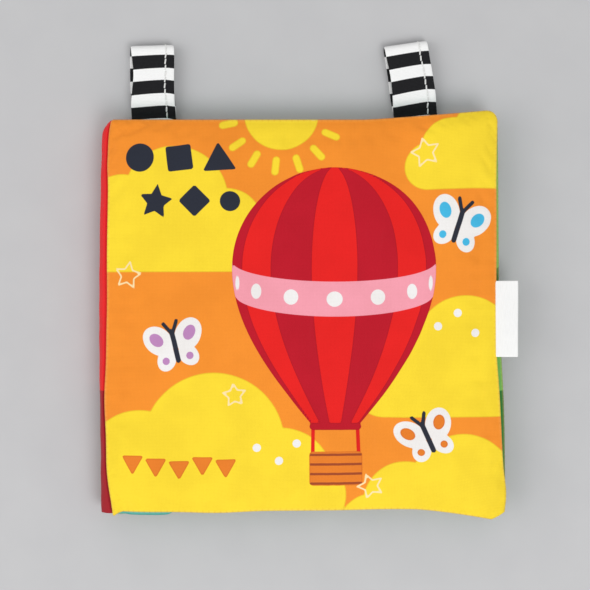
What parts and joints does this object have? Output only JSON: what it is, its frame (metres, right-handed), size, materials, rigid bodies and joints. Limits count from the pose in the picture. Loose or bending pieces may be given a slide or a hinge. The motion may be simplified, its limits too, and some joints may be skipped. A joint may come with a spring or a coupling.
{
  "type": "baby activity book",
  "caption": "Soft padded cloth activity book: covers that open about a red fabric spine, a middle leaf, striped strap loops at the top and a blank side label",
  "frame": {"origin": "a point near the middle of the flat underside of the back cover, on the surface that the closed book lies on", "axes": "+X from the spine to the fore-edge, +Y up the page towards the strap loops, +Z out of the front cover"},
  "size_m": [0.1909, 0.2183, 0.0195],
  "materials": {
    "cover_print": "smooth printed polyester, soft sheen",
    "page_print": "smooth printed polyester, soft sheen",
    "spine_fabric": "plain red polyester, soft sheen",
    "strap_fabric": "black and white striped woven fabric",
    "label_ribbon": "plain white satin ribbon",
    "wadding": "loose polyester wadding",
    "crinkle_film": "thin crackling film"
  },
  "bodies": {
    "spine": {"spine_outer_band": "spine_fabric", "spine_lining": "spine_fabric", "middle_leaf_right_page_panel": "page_print", "middle_leaf_left_page_panel": "page_print", "middle_leaf_wadding": "wadding", "middle_leaf_crinkle_film": "crinkle_film"},
    "front_cover": {"front_cover_printed_panel": "cover_print", "front_cover_page_panel": "page_print", "front_cover_wadding": "wadding", "front_cover_crinkle_film": "crinkle_film"},
    "back_cover": {"back_cover_page_panel": "page_print", "back_cover_outer_panel": "cover_print", "back_cover_wadding": "wadding", "back_cover_crinkle_film": "crinkle_film"},
    "left_strap": {"left_strap_loop": "strap_fabric"},
    "right_strap": {"right_strap_loop": "strap_fabric"},
    "label": {"side_label": "label_ribbon"}
  },
  "joints": [
    {"name": "front_cover_opening", "type": "hinge", "parent": "spine", "child": "front_cover", "pos_m": [-0.0898, 0, 0.0163], "axis": [0, -1, 0], "range_deg": [0, 178]},
    {"name": "back_cover_opening", "type": "hinge", "parent": "spine", "child": "back_cover", "pos_m": [-0.0898, 0, 0.0027], "axis": [0, 1, 0], "range_deg": [0, 178]},
    {"name": "left_strap_flex", "type": "hinge", "parent": "back_cover", "child": "left_strap", "pos_m": [-0.06965, 0.0915, 0.0027], "axis": [1, 0, 0], "range_deg": [-75, 75], "stiffness_Nm_per_rad": 0.001},
    {"name": "right_strap_flex", "type": "hinge", "parent": "back_cover", "child": "right_strap", "pos_m": [0.0518, 0.09294, 0.0027], "axis": [0.9978, 0.0665, 0], "range_deg": [-75, 75], "stiffness_Nm_per_rad": 0.001},
    {"name": "label_flex", "type": "hinge", "parent": "front_cover", "child": "label", "pos_m": [0.0883, -0.0013, 0.0163], "axis": [0.0259, -0.9997, 0], "range_deg": [-60, 80], "stiffness_Nm_per_rad": 0.0001}
  ]
}
